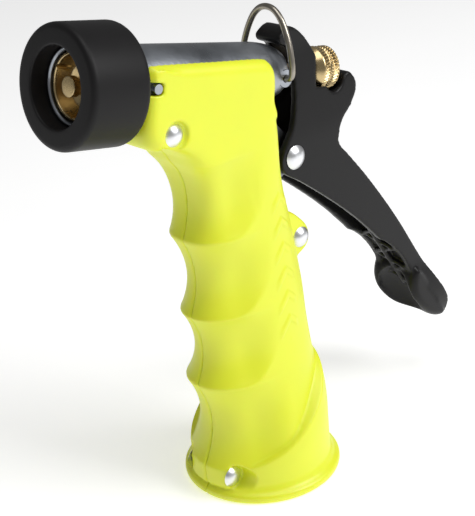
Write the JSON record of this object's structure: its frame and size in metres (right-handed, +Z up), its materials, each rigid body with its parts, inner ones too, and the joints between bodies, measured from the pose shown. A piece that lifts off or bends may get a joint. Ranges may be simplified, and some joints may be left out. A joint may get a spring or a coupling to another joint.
{
  "type": "hose spray nozzle",
  "caption": "Pistol-grip hose spray nozzle: insulated two-half grip, metal barrel with a soft guard, rear squeeze lever, brass stem and adjusting nut, and a wire hold-open bail.",
  "frame": {"origin": "middle of the bounding box at the flat lip of the cuff, which the nozzle stands on", "axes": "+Z up along the handle, +X towards the outlet, +Y to the nozzle's left side"},
  "size_m": [0.1312, 0.0446, 0.1409],
  "materials": {
    "cast_zinc": "die-cast zinc, satin",
    "grip_yellow": "moulded, satin",
    "rivet_metal": "bright",
    "lever_black": "moulded, satin",
    "guard_black": "matt",
    "brass": "turned",
    "seal_rubber": "matt",
    "wire_steel": "drawn wire"
  },
  "bodies": {
    "body": {"body_casting": "cast_zinc", "grip_left": "grip_yellow", "grip_right": "grip_yellow", "grip_rivet_top": "rivet_metal", "grip_rivet_middle": "rivet_metal", "grip_rivet_bottom": "rivet_metal", "pivot_rivet": "rivet_metal", "front_guard": "guard_black", "nozzle_insert": "brass", "return_spring": "wire_steel", "packing_ring": "seal_rubber", "packing_gland": "brass", "hose_washer": "seal_rubber", "inlet_screen": "wire_steel"},
    "lever": {"trigger_lever": "lever_black"},
    "stem": {"valve_stem": "brass", "seat_washer": "seal_rubber", "washer_retainer": "brass", "spring_collar": "brass"},
    "nut": {"adjusting_nut": "brass"},
    "bail": {"hold_open_bail": "wire_steel"}
  },
  "joints": [
    {"name": "trigger_squeeze", "type": "hinge", "parent": "body", "child": "lever", "pos_m": [-0.0049, 0, 0.0903], "axis": [0, -1, 0], "range_deg": [0, 26], "stiffness_Nm_per_rad": 1.2, "springref_deg": -17.19},
    {"name": "stem_slide", "type": "slide", "parent": "body", "child": "stem", "axis": [-0.9794, 0, -0.2018], "range_m": [0, 0.0133], "deforming": ["return_spring"]},
    {"name": "nut_turn", "type": "hinge", "parent": "stem", "child": "nut", "pos_m": [-0.02074, 0, 0.10937], "axis": [0.9794, 0, 0.2018], "range_deg": [-360, 360]},
    {"name": "bail_swing", "type": "hinge", "parent": "body", "child": "bail", "pos_m": [-0.00309, 0, 0.11239], "axis": [0, -1, 0], "range_deg": [-30, 44]}
  ],
  "couplings": [
    {"joint": "stem_slide", "follows": "trigger_squeeze", "m_per_rad": 0.029}
  ]
}
